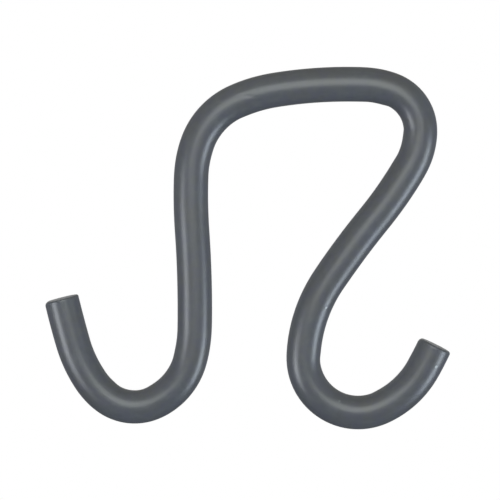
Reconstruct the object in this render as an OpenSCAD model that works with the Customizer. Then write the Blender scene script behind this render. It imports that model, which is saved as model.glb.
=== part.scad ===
// Hanging basket hook: one round steel bar, bent flat into a loop that hangs
// on a rail, with a basket hook on each side, and sheared off at both ends.
//
// The bar is laid out as a bending plan in the XY plane and then stood upright,
// so that X runs to the right, Z runs up and Y runs through the bar.
// The origin is the saddle: the top of the loop's inner face, which bears on
// the rail. The left and the right limb of the bar both start there.

/* [Bar] */
// Diameter of the round bar
bar_d = 6; // [4:0.5:8]

/* [Top run over the rail] */
// Radius of the slightly crowned top run
crown_r = 80; // [60:5:120]
// Crown angle to the left of the saddle
crown_left_angle = 9; // [6:1:12]
// Crown angle to the right of the saddle
crown_right_angle = 2; // [1:1:5]

/* [Left shoulder] */
// Radius where the top run eases into the shoulder
shoulder_in_r = 27; // [20:1:36]
// Angle of that easing
shoulder_in_angle = 15; // [10:1:20]
// Radius of the shoulder bend
shoulder_r = 12.5; // [10:0.5:16]
// Angle of the shoulder bend
shoulder_angle = 47; // [40:1:54]
// Radius where the shoulder runs out into the leg
shoulder_out_r = 19.5; // [14:0.5:28]
// Angle of that run-out
shoulder_out_angle = 17; // [11:1:23]

/* [Left leg] */
// Radius of the upper leg, which leans slightly inwards
leg_upper_r = 90; // [70:5:120]
// Angle of the upper leg
leg_upper_angle = 6; // [3:1:9]
// Radius of the lower leg, which straightens again
leg_lower_r = 190; // [140:10:240]
// Angle of the lower leg
leg_lower_angle = 5; // [3:1:7]

/* [Left hook] */
// Radius where the leg eases into the hook
left_in_r = 24; // [18:1:32]
// Angle of that easing
left_in_angle = 14; // [8:1:20]
// Radius of the hook's inner flank
left_flank_r = 11.5; // [9:0.5:15]
// Angle of the hook's inner flank
left_flank_angle = 50; // [42:1:56]
// Radius of the hook's round bottom
left_round_r = 8; // [6.5:0.5:11]
// Angle of the hook's round bottom
left_round_angle = 63; // [56:1:70]
// Radius of the hook's outer flank
left_outer_r = 12.5; // [9:0.5:17]
// Angle of the hook's outer flank
left_outer_angle = 18; // [12:1:24]
// Radius of the flare above the outer flank
left_flare_r = 23; // [17:1:31]
// Angle of that flare
left_flare_angle = 18; // [12:1:24]
// Radius of the almost straight left end
left_end_r = 155; // [110:5:200]
// Angle of the left end
left_end_angle = 3; // [2:0.5:5]

/* [Right corner] */
// Radius where the top run eases into the corner
corner_in_r = 15.5; // [11:0.5:21]
// Angle of that easing
corner_in_angle = 18; // [12:1:24]
// Radius of the tight corner bend
corner_r = 7.5; // [6:0.5:10]
// Angle of the tight corner bend
corner_angle = 71; // [64:1:78]
// Radius where the corner opens out
corner_out_r = 12.5; // [9:0.5:17]
// Angle of that opening
corner_out_angle = 29; // [22:1:34]

/* [Slanted leg] */
// Radius of the leg's upper half, which still follows the corner
slant_upper_r = 70; // [50:5:100]
// Angle of the leg's upper half
slant_upper_angle = 9; // [6:1:12]
// Radius of the leg's lower half, which turns back to the hook
slant_lower_r = 150; // [110:10:200]
// Angle of the leg's lower half
slant_lower_angle = 5; // [3:1:7]

/* [Right hook] */
// Radius where the slanted leg eases into the hook
right_in_r = 26; // [20:1:34]
// Angle of that easing
right_in_angle = 31; // [25:1:37]
// Radius of the hook's round bottom
right_round_r = 9.5; // [8:0.5:12]
// Angle of the hook's round bottom
right_round_angle = 118; // [108:1:126]
// Radius of the flare above the bottom
right_flare_r = 16; // [12:1:22]
// Angle of that flare
right_flare_angle = 36; // [30:1:44]
// Radius of the almost straight right end
right_end_r = 60; // [40:5:80]
// Angle of the right end
right_end_angle = 4.5; // [2:0.5:7]

/* [Sheared ends] */
// Broken edge around the left end face
left_edge_break = 0.3; // [0.1:0.05:0.6]
// Broken edge around the right end face, which is more worn
right_edge_break = 0.45; // [0.1:0.05:0.6]
// Tilt of the left end face away from square, down towards the outside
left_shear_angle = 1; // [0:0.5:5]
// Tilt of the right end face away from square, down towards the outside
right_shear_angle = 1; // [0:0.5:5]
// Width of the edge that the shear blade rolled over, on each end face
rollover_w = 0.8; // [0.6:0.1:0.9]
// Radius of that rolled edge
rollover_r = 1; // [1:0.1:2]

/* [Hidden] */
$fn = 96;

bar_r = bar_d / 2;

// The two limbs leave the saddle with these headings.
left_heading = 180;
right_heading = 0;
quarter_turn = 90;

// How far the cutters at the ends reach past what they cut.
cut_margin = 1;
// How much bar each end's cutter can take off.
waste_l = 2;

// Each row is one bend, [radius, angle], in order from the saddle to the end.
// A positive angle turns to the left of the way ahead.
left_limb = [
    [crown_r, crown_left_angle],
    [shoulder_in_r, shoulder_in_angle],
    [shoulder_r, shoulder_angle],
    [shoulder_out_r, shoulder_out_angle],
    [leg_upper_r, leg_upper_angle],
    [leg_lower_r, -leg_lower_angle],
    [left_in_r, -left_in_angle],
    [left_flank_r, -left_flank_angle],
    [left_round_r, -left_round_angle],
    [left_outer_r, -left_outer_angle],
    [left_flare_r, -left_flare_angle],
    [left_end_r, -left_end_angle],
];
right_limb = [
    [crown_r, -crown_right_angle],
    [corner_in_r, -corner_in_angle],
    [corner_r, -corner_angle],
    [corner_out_r, -corner_out_angle],
    [slant_upper_r, -slant_upper_angle],
    [slant_lower_r, slant_lower_angle],
    [right_in_r, right_in_angle],
    [right_round_r, right_round_angle],
    [right_flare_r, right_flare_angle],
    [right_end_r, right_end_angle],
];

// A pose is where a bend starts: a point on the centre line and a heading.
left_start = [[0, bar_r], left_heading];
right_start = [[0, bar_r], right_heading];

function sideways(heading) = [-sin(heading), cos(heading)];
function bend_centre(pose, bend) = pose[0] + sign(bend[1]) * bend[0] * sideways(pose[1]);
function pose_after(pose, bend) =
    let (heading = pose[1] + bend[1])
    [bend_centre(pose, bend) - sign(bend[1]) * bend[0] * sideways(heading), heading];
function pose_at(limb, start, index) =
    index == 0 ? start : pose_after(pose_at(limb, start, index - 1), limb[index - 1]);

// Moves its children in two steps, a rounded one and the small rest, so that
// bends meet face to face to a millionth of a millimetre.
steps_per_mm = 100;
function to_step(length) = round(length * steps_per_mm) / steps_per_mm;
module placed_at(point) {
    rounded = [to_step(point[0]), to_step(point[1])];
    translate(rounded)
        translate(point - rounded)
            children();
}

module bent_bar(pose, bend) {
    radius = bend[0];
    angle = bend[1];
    from_centre = angle > 0 ? pose[1] - quarter_turn : pose[1] + quarter_turn + angle;
    placed_at(bend_centre(pose, bend))
        rotate_extrude(angle = abs(angle), start = from_centre)
            translate([radius, 0])
                circle(r = bar_r);
}

module limb_of_bar(limb, start) {
    for (index = [0 : len(limb) - 1])
        bent_bar(pose_at(limb, start, index), limb[index]);
}

// What the shear takes off an end: all beyond the end face, and the broken edge.
module end_waste(edge_break) {
    reach = bar_r + cut_margin;
    rotate([0, quarter_turn, 0])
        rotate_extrude()
            polygon([
                [0, 0],
                [bar_r - edge_break, 0],
                [reach, -edge_break - cut_margin],
                [reach, waste_l],
                [0, waste_l],
            ]);
}

// What the blade rolled over on one side of the end, as a rounded corner.
module rollover_waste() {
    linear_extrude(bar_d + cut_margin, center = true)
        translate([-rollover_r, bar_r - rollover_w])
            difference() {
                square([rollover_r + cut_margin, rollover_w + cut_margin]);
                circle(r = rollover_r);
            }
}

// A positive tilt turns the end face to the left of the way ahead.
module sheared_off(pose, tilt, edge_break) {
    set_back = bar_r * tan(abs(tilt));
    translate(pose[0])
        rotate(pose[1])
            translate([-set_back, 0])
                rotate(tilt) {
                    end_waste(edge_break);
                    rollover_waste();
                }
}

left_tip = pose_at(left_limb, left_start, len(left_limb));
right_tip = pose_at(right_limb, right_start, len(right_limb));

module hook() {
    color("dimgray")
        rotate([quarter_turn, 0, 0])
            difference() {
                union() {
                    limb_of_bar(left_limb, left_start);
                    limb_of_bar(right_limb, right_start);
                }
                sheared_off(left_tip, left_shear_angle, left_edge_break);
                sheared_off(right_tip, -right_shear_angle, right_edge_break);
            }
}

hook();
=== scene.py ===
# Looks of the hanging basket hook: the bent bar as one fine mesh with its satin grey
# coating, a pale floor, soft studio light and a camera that faces the hook.
# Lengths of the bar are millimetres until its mesh is made; the rest is metres.
import math

import bpy
import numpy as np
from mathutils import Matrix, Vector, noise


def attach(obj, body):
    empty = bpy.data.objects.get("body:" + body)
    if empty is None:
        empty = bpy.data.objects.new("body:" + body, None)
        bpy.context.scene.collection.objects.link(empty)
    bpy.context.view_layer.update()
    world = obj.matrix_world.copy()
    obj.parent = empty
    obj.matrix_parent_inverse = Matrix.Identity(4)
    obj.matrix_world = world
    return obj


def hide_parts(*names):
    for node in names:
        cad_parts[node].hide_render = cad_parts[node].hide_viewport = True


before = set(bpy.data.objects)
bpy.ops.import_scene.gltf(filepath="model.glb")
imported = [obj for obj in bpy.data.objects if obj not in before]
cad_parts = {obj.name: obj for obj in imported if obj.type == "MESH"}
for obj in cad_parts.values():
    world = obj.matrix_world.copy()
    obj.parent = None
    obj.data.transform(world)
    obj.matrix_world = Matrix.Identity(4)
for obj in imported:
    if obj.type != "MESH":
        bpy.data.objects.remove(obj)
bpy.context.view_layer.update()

MM = 0.001

# ---------------------------------------------------------------- sizes of the bar
# Angles are degrees. The bar lies in the XZ plane, and the saddle, where it bears on
# the rail, is the origin.

BAR_R = 3.0

# One bend a row, (radius, angle), from the saddle to the end of the limb.
# A positive angle turns to the left of the way ahead.
LEFT_LIMB = [
    (80, 9),        # crown of the top run
    (27, 15),       # into the shoulder
    (12.5, 47),     # shoulder
    (19.5, 17),     # out of the shoulder
    (90, 6),        # upper leg
    (190, -5),      # lower leg
    (24, -14),      # into the hook
    (11.5, -50),    # inner flank
    (8, -63),       # round bottom
    (12.5, -18),    # outer flank
    (23, -18),      # flare
    (155, -3),      # end
]
RIGHT_LIMB = [
    (80, -2),       # crown of the top run
    (15.5, -18),    # into the corner
    (7.5, -71),     # corner
    (12.5, -29),    # out of the corner
    (70, -9),       # slanted leg, upper half
    (150, 5),       # slanted leg, lower half
    (26, 31),       # into the hook
    (9.5, 118),     # round bottom
    (16, 36),       # flare
    (60, 4.5),      # end
]

# Distance along the bar over which one bend eases into the next.
BEND_EASE = 0.8

# The sheared ends: tilt of each face, its broken edge, and the side that the shear
# blade rolled over.
LEFT_TILT = 1
RIGHT_TILT = -1
LEFT_EDGE_BREAK = 0.3
RIGHT_EDGE_BREAK = 0.45
ROLLOVER_W = 0.8
ROLLOVER_R = 1.0
SHEAR_GRAIN = 0.012
SHEAR_GRAIN_SIZE = 0.7

# A tight bend flattens the bar on its inner side.
FLAT_DEPTH = 0.2
FLAT_BEND_R = 8.0

# Slow waves left by the bending and the fine peel of the coating.
WAVE_HEIGHT = 0.02
WAVE_LENGTH = 9.0
PEEL_HEIGHT = 0.002
PEEL_LENGTH = 1.3

# Marks on the bar. Each lies at a distance from the left end and at an angle round
# the bar, where 0 is the left of the way from left to right and 90 is the front.
# (distance, angle, half length, half width, slant, height); a hollow is negative.
MARKS = [
    (88.0, 84, 1.3, 0.28, 24, -0.07),     # forked die mark on the shoulder
    (98.3, 84, 0.15, 0.5, 0, -0.03),      # fine nick across the top run
    (157.6, 52, 0.3, 0.3, 0, 0.04),       # nib on the slanted leg
    (178.4, 59, 0.3, 0.3, 0, 0.03),       # nib in the right hook
    (198.2, 122, 0.3, 0.3, 0, 0.04),      # nib near the right end
]

# Painted highlights: pale glints painted on the tops of the nibs, where they catch the light:
# (distance, angle, radius, share).
# The share is how much of the painted highlight colour shows at the middle of the spot.
PAINTED_GLINT_SPOTS = [
    (157.6, 52, 0.2, 0.9),
    (178.4, 59, 0.2, 0.2),
    (198.2, 122, 0.24, 1.0),
]

# Mesh density: distance between rings, points round a ring, rings of an end face and
# of its broken edge, and the length over which rings lean to meet a tilted face.
RING_STEP = 0.25
AROUND = 96
FACE_RINGS = 20
EDGE_RINGS = 6
TILT_FADE = 3.0


# ---------------------------------------------------------------- the bar's mesh
def limb_length(limb):
    return sum(radius * math.radians(abs(angle)) for radius, angle in limb)


def limb_curvature(limb, distance):
    """Curvature at each distance from the saddle along one limb."""
    curvature = np.zeros_like(distance)
    start = 0.0
    for radius, angle in limb:
        end = start + radius * math.radians(abs(angle))
        curvature[(distance >= start) & (distance < end)] = math.copysign(1 / radius, angle)
        start = end
    return curvature


def eased(values, step):
    """The values smoothed over BEND_EASE, so that no bend starts with a jolt."""
    reach = int(3 * BEND_EASE / step)
    offsets = np.arange(-reach, reach + 1) * step
    weights = np.exp(-0.5 * (offsets / BEND_EASE) ** 2)
    padded = np.pad(values, reach, mode="edge")
    return np.convolve(padded, weights / weights.sum(), mode="valid")


class CentreLine:
    """The bar's centre line, measured from the left end to the right end."""

    STEP = 0.01
    SPARE = 2.0

    def __init__(self):
        self.left = limb_length(LEFT_LIMB)
        self.length = self.left + limb_length(RIGHT_LIMB)
        along = np.arange(-self.SPARE, self.length + self.SPARE, self.STEP)
        from_saddle = along - self.left
        # Seen from the right way round, the left limb's bends turn the same way.
        bends = np.where(
            from_saddle < 0,
            limb_curvature(LEFT_LIMB, np.abs(from_saddle)) * -1,
            limb_curvature(RIGHT_LIMB, from_saddle),
        )
        bends = eased(bends, self.STEP)
        heading = np.cumsum(bends) * self.STEP
        heading -= np.interp(0, from_saddle, heading)
        x = np.cumsum(np.cos(heading)) * self.STEP
        z = np.cumsum(np.sin(heading)) * self.STEP
        self.along = along
        self.bends = bends
        self.heading = heading
        self.x = x - np.interp(0, from_saddle, x)
        self.z = z - np.interp(0, from_saddle, z) + BAR_R

    def at(self, distance):
        """x, z, heading and curvature at the given distances."""
        columns = (self.x, self.z, self.heading, self.bends)
        return [np.interp(distance, self.along, column) for column in columns]


def rollover(sideways):
    """How far the blade rolled the face down, by the distance to the rolled side."""
    over = np.clip(sideways - (BAR_R - ROLLOVER_W), 0, ROLLOVER_W)
    return ROLLOVER_R - np.sqrt(ROLLOVER_R ** 2 - over ** 2)


def face_height(sideways, tilt):
    """Height of the sheared face over the end of the centre line."""
    slope = math.tan(math.radians(tilt))
    return -BAR_R * abs(slope) - sideways * slope - rollover(sideways)


def grain(points, size):
    """Smooth noise at rows of points, from about -1 to 1."""
    return np.array([noise.noise(Vector(point) / size) for point in points])


def end_rings(angle, tilt, edge_break, side, seed):
    """Radius and height of the rings of one end, from the middle of the face outwards."""
    flat = np.linspace(0, BAR_R - edge_break, FACE_RINGS + 1)[1:]
    turn = np.linspace(0, math.pi / 2, EDGE_RINGS + 1)[1:]
    radius = np.concatenate([flat, BAR_R - edge_break + edge_break * np.sin(turn)])
    drop = np.concatenate([np.zeros(FACE_RINGS), edge_break * (1 - np.cos(turn))])
    radius, turned = np.meshgrid(radius, angle, indexing="ij")
    sideways = side * radius * np.cos(turned)
    spots = np.stack([sideways, radius * np.sin(turned), np.full_like(radius, seed)], -1)
    rough = grain(spots.reshape(-1, 3), SHEAR_GRAIN_SIZE).reshape(radius.shape)
    fade = np.clip((BAR_R - radius) / edge_break, 0, 1)
    height = face_height(sideways, tilt) - drop[:, None] + SHEAR_GRAIN * rough * fade
    return radius, height


def bar_rings(line, angle):
    """Distance along the bar and radius of every ring, from one face to the other."""
    left_r, left_h = end_rings(angle, LEFT_TILT, LEFT_EDGE_BREAK, -1, 7.0)
    right_r, right_h = end_rings(angle, RIGHT_TILT, RIGHT_EDGE_BREAK, 1, 19.0)
    count = int(line.length / RING_STEP)
    wall = np.linspace(0, line.length, count + 1)[1:-1]
    near_left = np.clip(1 - wall / TILT_FADE, 0, 1)[:, None]
    near_right = np.clip(1 - (line.length - wall) / TILT_FADE, 0, 1)[:, None]
    shift = near_right * right_h[-1] - near_left * left_h[-1]
    along = wall[:, None] + shift
    return (
        np.vstack([-left_h, along, line.length + right_h[::-1]]),
        np.vstack([left_r, np.full_like(along, BAR_R), right_r[::-1]]),
    )


def flattening(bend, angle):
    """How far a bend's inner side is flattened, by curvature and angle round the bar."""
    tight = np.clip(np.abs(bend) * FLAT_BEND_R, 0, 1) ** 2
    inner = np.clip(np.sign(bend) * np.cos(angle), 0, 1) ** 2
    return FLAT_DEPTH * tight * inner


def mark_height(along, angle):
    """Height of all the marks at places on the bar."""
    total = np.zeros_like(along)
    for distance, place, half_length, half_width, slant, height in MARKS:
        ahead = along - distance
        round_bar = BAR_R * (angle - math.radians(place))
        c = math.cos(math.radians(slant))
        s = math.sin(math.radians(slant))
        lengthwise = (ahead * c + round_bar * s) / half_length
        crosswise = (round_bar * c - ahead * s) / half_width
        total += height * np.exp(-lengthwise ** 2 - crosswise ** 2)
    return total


def bar_surface(line):
    """Points of every ring, and where each lies on the bar before it was bent."""
    angle = np.arange(AROUND) * 2 * math.pi / AROUND
    along, radius = bar_rings(line, angle)
    angle = np.broadcast_to(angle, along.shape)
    x, z, heading, bend = line.at(along)
    straight = np.stack([along, radius * np.cos(angle), radius * np.sin(angle)], -1)
    spots = straight.reshape(-1, 3)
    waves = grain(spots * (1, 0.5, 0.5), WAVE_LENGTH).reshape(along.shape)
    peel = grain(spots, PEEL_LENGTH).reshape(along.shape)
    relief = WAVE_HEIGHT * waves + PEEL_HEIGHT * peel + mark_height(along, angle)
    on_wall = radius / BAR_R
    radius = radius + on_wall ** 4 * (relief - flattening(bend, angle))
    inwards = radius * np.cos(angle)
    points = np.stack(
        [
            x - inwards * np.sin(heading),
            -radius * np.sin(angle),
            z + inwards * np.cos(heading),
        ],
        -1,
    )
    return points, straight


def bar_mesh(name, line):
    """The bar as one closed mesh: rings of quads, and a fan at the middle of each face."""
    points, straight = bar_surface(line)
    rings = len(points)
    middles = np.stack([points[0].mean(0), points[-1].mean(0)])
    straight_middles = np.stack([straight[0].mean(0), straight[-1].mean(0)])
    vertices = np.vstack([points.reshape(-1, 3), middles]) * MM
    unbent = np.vstack([straight.reshape(-1, 3), straight_middles]) * MM
    first_middle = rings * AROUND
    last_middle = first_middle + 1
    last_ring = (rings - 1) * AROUND
    faces = []
    for ring in range(rings - 1):
        for k in range(AROUND):
            a = ring * AROUND + k
            b = ring * AROUND + (k + 1) % AROUND
            faces.append((a, b, b + AROUND, a + AROUND))
    for k in range(AROUND):
        after = (k + 1) % AROUND
        faces.append((first_middle, after, k))
        faces.append((last_middle, last_ring + k, last_ring + after))
    mesh = bpy.data.meshes.new(name)
    mesh.from_pydata(vertices.tolist(), [], faces)
    mesh.polygons.foreach_set("use_smooth", [True] * len(mesh.polygons))
    attribute = mesh.attributes.new("unbent", "FLOAT_VECTOR", "POINT")
    attribute.data.foreach_set("vector", unbent.astype(np.float32).ravel())
    mesh.update()
    return mesh


# ---------------------------------------------------------------- the coating
class Nodes:
    """A short way to add and join shader nodes."""

    def __init__(self, owner):
        owner.use_nodes = True
        self.tree = owner.node_tree
        self.tree.nodes.clear()

    def add(self, kind, inputs=(), **settings):
        node = self.tree.nodes.new(kind)
        for key, value in settings.items():
            setattr(node, key, value)
        for key, value in dict(inputs).items():
            self.put(node.inputs[key], value)
        return node

    def put(self, socket, value):
        if isinstance(value, bpy.types.NodeSocket):
            self.tree.links.new(value, socket)
        else:
            socket.default_value = value

    def math(self, operation, *values):
        return self.add("ShaderNodeMath", enumerate(values), operation=operation).outputs[0]

    def blend(self, factor, first, second):
        mix = self.add("ShaderNodeMix", data_type="RGBA")
        self.put(mix.inputs[0], factor)
        self.put(mix.inputs[6], first)
        self.put(mix.inputs[7], second)
        return mix.outputs[2]

    def fit(self, value, low, high, to_low, to_high):
        inputs = enumerate((value, low, high, to_low, to_high))
        return self.add("ShaderNodeMapRange", inputs).outputs[0]


COAT_COLOUR = (0.069, 0.076, 0.087, 1)
COAT_PALE = (0.084, 0.091, 0.101, 1)
COAT_WARM = (0.078, 0.077, 0.077, 1)
COAT_COOL = (0.072, 0.075, 0.098, 1)
# Pale colour of the painted highlights on the nib tops.
PAINTED_GLINT_COLOUR = (0.33, 0.36, 0.37, 1)
COAT_ROUGHNESS = 0.35
ROUGHNESS_SPREAD = 0.03
COAT_IOR = 1.62


def coated_bar():
    """Satin grey coating: faint clouds, fine speckle and a soft peel in its gloss."""
    material = bpy.data.materials.new("coated_bar")
    n = Nodes(material)
    place = n.add("ShaderNodeAttribute", attribute_name="unbent").outputs["Vector"]

    def cloud(size_mm, detail, seed):
        """Smooth noise whose blotches are about this size; the seed moves it along."""
        shift = n.add("ShaderNodeVectorMath", operation="ADD")
        n.put(shift.inputs[0], place)
        shift.inputs[1].default_value = (seed, seed, seed)
        settings = {"Vector": shift.outputs[0], "Scale": 1 / (size_mm * MM), "Detail": detail}
        return n.add("ShaderNodeTexNoise", settings).outputs["Fac"]

    slow = n.fit(cloud(6.0, 2, 0.1), 0.35, 0.65, 0, 1)
    mottle = n.fit(cloud(1.1, 3, 0.2), 0.3, 0.7, 0, 1)
    tint = n.fit(cloud(1.6, 2, 0.5), 0.45, 0.6, 0, 0.6)
    speckle = cloud(0.22, 2, 0.3)
    colour = n.blend(mottle, COAT_COLOUR, COAT_PALE)
    colour = n.blend(n.math("MULTIPLY", slow, 0.5), colour, COAT_WARM)
    colour = n.blend(tint, colour, COAT_COOL)
    # Paints the pale glints onto the nib tops: painted highlights, not worn coating.
    for distance, angle, radius, share in PAINTED_GLINT_SPOTS:
        across = BAR_R * math.cos(math.radians(angle))
        forward = BAR_R * math.sin(math.radians(angle))
        away = n.add("ShaderNodeVectorMath", operation="DISTANCE")
        n.put(away.inputs[0], place)
        away.inputs[1].default_value = Vector((distance, across, forward)) * MM
        spot = n.fit(away.outputs["Value"], 0.5 * radius * MM, 1.5 * radius * MM, share, 0)
        colour = n.blend(spot, colour, PAINTED_GLINT_COLOUR)
    smooth = COAT_ROUGHNESS - ROUGHNESS_SPREAD
    dull = COAT_ROUGHNESS + ROUGHNESS_SPREAD
    roughness = n.fit(mottle, 0, 1, smooth, dull)
    peel = n.add(
        "ShaderNodeBump",
        {"Height": cloud(0.9, 1, 0.4), "Strength": 0.12, "Distance": 0.03 * MM},
    )
    fine = n.add(
        "ShaderNodeBump",
        {"Height": speckle, "Strength": 0.10, "Distance": 0.01 * MM, "Normal": peel.outputs[0]},
    )
    shader = n.add(
        "ShaderNodeBsdfPrincipled",
        {
            "Base Color": colour,
            "Roughness": roughness,
            "Specular IOR Level": 0.5,
            "IOR": COAT_IOR,
            "Normal": fine.outputs[0],
        },
    )
    n.add("ShaderNodeOutputMaterial", {"Surface": shader.outputs[0]})
    return material


# ---------------------------------------------------------------- the studio
WHITE = (1, 1, 1, 1)
PHOTO_CENTRE = Vector((-16.9, 0, -25.7)) * MM
PHOTO_WIDTH = 86.7 * MM
CAMERA_DISTANCE = 500 * MM
LAMP_DISTANCE = 0.4
CAMERA_ELEVATION = 4

# The studio lights the hook from all round at this level, cooler from below. Its
# background shows white, but the coating mirrors that white only right behind the
# hook, out to PATCH_EDGE degrees and gone by PATCH_FADE: a white surround all round
# would make the bar's rims too bright.
STUDIO_LEVEL = 0.30
STUDIO_BELOW = (0.85, 0.92, 1.10, 1)
STUDIO_ABOVE = (1.04, 1.04, 0.94, 1)
PATCH_EDGE = 9
PATCH_FADE = 18

# The floor is a pale disc under the hook. Its glow is seen by the camera alone, so that
# it looks pale without lighting the hook.
FLOOR_DROP = 0.45
FLOOR_R = 1.2
FLOOR_COLOUR = (0.31, 0.33, 0.37, 1)
FLOOR_GLOW = 0.84


def from_front(azimuth, elevation):
    """Direction from the hook, in degrees from the front and above the horizon."""
    a = math.radians(azimuth)
    e = math.radians(elevation)
    return Vector((math.sin(a) * math.cos(e), -math.cos(a) * math.cos(e), math.sin(e)))


def aim(thing, direction, distance):
    """Puts a lamp or camera at a distance from the photo's centre and points it there."""
    thing.location = PHOTO_CENTRE + direction * distance
    thing.rotation_euler = direction.to_track_quat("Z", "Y").to_euler()


def make_camera():
    data = bpy.data.cameras.new("camera")
    camera = bpy.data.objects.new("camera", data)
    bpy.context.collection.objects.link(camera)
    aim(camera, from_front(0, CAMERA_ELEVATION), CAMERA_DISTANCE)
    data.lens = data.sensor_width * CAMERA_DISTANCE / PHOTO_WIDTH
    bpy.context.scene.camera = camera


def make_lamp(name, azimuth, elevation, width, height, power, colour, mirrored=True):
    """A soft box that faces the hook. One that isn't mirrored lights it without a streak."""
    data = bpy.data.lights.new(name, "AREA")
    data.shape = "RECTANGLE"
    data.size = width
    data.size_y = height
    data.energy = power
    data.color = colour
    lamp = bpy.data.objects.new(name, data)
    bpy.context.collection.objects.link(lamp)
    aim(lamp, from_front(azimuth, elevation), LAMP_DISTANCE)
    lamp.visible_camera = False
    lamp.visible_glossy = mirrored


def make_world():
    world = bpy.data.worlds.new("studio")
    bpy.context.scene.world = world
    n = Nodes(world)
    way = n.add("ShaderNodeTexCoord").outputs["Generated"]
    towards = n.add("ShaderNodeVectorMath", operation="DOT_PRODUCT")
    n.put(towards.inputs[0], way)
    towards.inputs[1].default_value = -from_front(0, CAMERA_ELEVATION)
    edge = math.cos(math.radians(PATCH_EDGE))
    gone = math.cos(math.radians(PATCH_FADE))
    patch = n.fit(towards.outputs["Value"], gone, edge, 0, 1)
    path = n.add("ShaderNodeLightPath").outputs
    mirrored = n.math("MULTIPLY", patch, path["Is Glossy Ray"])
    straight = n.math("MAXIMUM", path["Is Camera Ray"], path["Is Transmission Ray"])
    height = n.add("ShaderNodeSeparateXYZ", {"Vector": way}).outputs["Z"]
    tone = n.blend(n.fit(height, -0.7, 0.7, 0, 1), STUDIO_BELOW, STUDIO_ABOVE)
    light = n.add("ShaderNodeBackground", {"Color": tone, "Strength": STUDIO_LEVEL})
    white = n.add("ShaderNodeBackground", {"Color": WHITE, "Strength": 1.0})
    mix = n.add("ShaderNodeMixShader", {0: n.math("MAXIMUM", straight, mirrored)})
    n.put(mix.inputs[1], light.outputs[0])
    n.put(mix.inputs[2], white.outputs[0])
    n.add("ShaderNodeOutputWorld", {"Surface": mix.outputs[0]})


def floor_material():
    """Pale floor that keeps the hook's shadow and fades into the white background."""
    material = bpy.data.materials.new("floor")
    n = Nodes(material)
    place = n.add("ShaderNodeTexCoord").outputs["Object"]
    reach = n.add("ShaderNodeVectorMath", operation="LENGTH")
    n.put(reach.inputs[0], place)
    rim = n.fit(reach.outputs["Value"], 0.4 * FLOOR_R, 0.95 * FLOOR_R, 0, 1)
    path = n.add("ShaderNodeLightPath").outputs
    seen = n.math("MAXIMUM", path["Is Camera Ray"], path["Is Transmission Ray"])
    paint = n.add("ShaderNodeBsdfDiffuse", {"Color": FLOOR_COLOUR})
    glow = n.add("ShaderNodeEmission", {"Color": WHITE})
    n.put(glow.inputs["Strength"], n.math("MULTIPLY", seen, FLOOR_GLOW))
    lit = n.add("ShaderNodeAddShader", {0: paint.outputs[0], 1: glow.outputs[0]})
    far = n.add("ShaderNodeEmission", {"Color": WHITE})
    n.put(far.inputs["Strength"], n.fit(seen, 0, 1, STUDIO_LEVEL, 1))
    mix = n.add("ShaderNodeMixShader", {0: rim})
    n.put(mix.inputs[1], lit.outputs[0])
    n.put(mix.inputs[2], far.outputs[0])
    n.add("ShaderNodeOutputMaterial", {"Surface": mix.outputs[0]})
    return material


def make_floor():
    bpy.ops.mesh.primitive_circle_add(vertices=96, radius=FLOOR_R, fill_type="NGON")
    floor = bpy.context.object
    floor.name = "floor"
    floor.location = (PHOTO_CENTRE.x, 0, -FLOOR_DROP)
    floor.data.materials.append(floor_material())


def make_hook():
    mesh = bar_mesh("hook_bar", CentreLine())
    hook = bpy.data.objects.new("hook_bar", mesh)
    bpy.context.collection.objects.link(hook)
    mesh.materials.append(coated_bar())
    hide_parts("hook")
    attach(hook, "root")
    return hook


bpy.context.scene.view_settings.view_transform = "Standard"
make_hook()
make_floor()
make_world()
make_camera()
# Each lamp: name, azimuth, elevation, width, height, power and colour. The two windows
# make the streaks along the sides of the bar, and the back lamp lifts its far side.
make_lamp("key", 2, 21, 0.36, 0.29, 0.90, (0.95, 1.0, 0.95))
make_lamp("top", 0, 70, 0.60, 0.60, 0.15, (1.0, 1.0, 1.0))
make_lamp("back", 180, 15, 0.40, 0.40, 1.00, (0.96, 1.0, 1.0), mirrored=False)
make_lamp("left_window", -56, -15, 0.19, 0.20, 0.68, (0.90, 0.94, 1.0))
make_lamp("right_window", 72, -24, 0.17, 0.26, 0.91, (0.80, 0.90, 1.0))
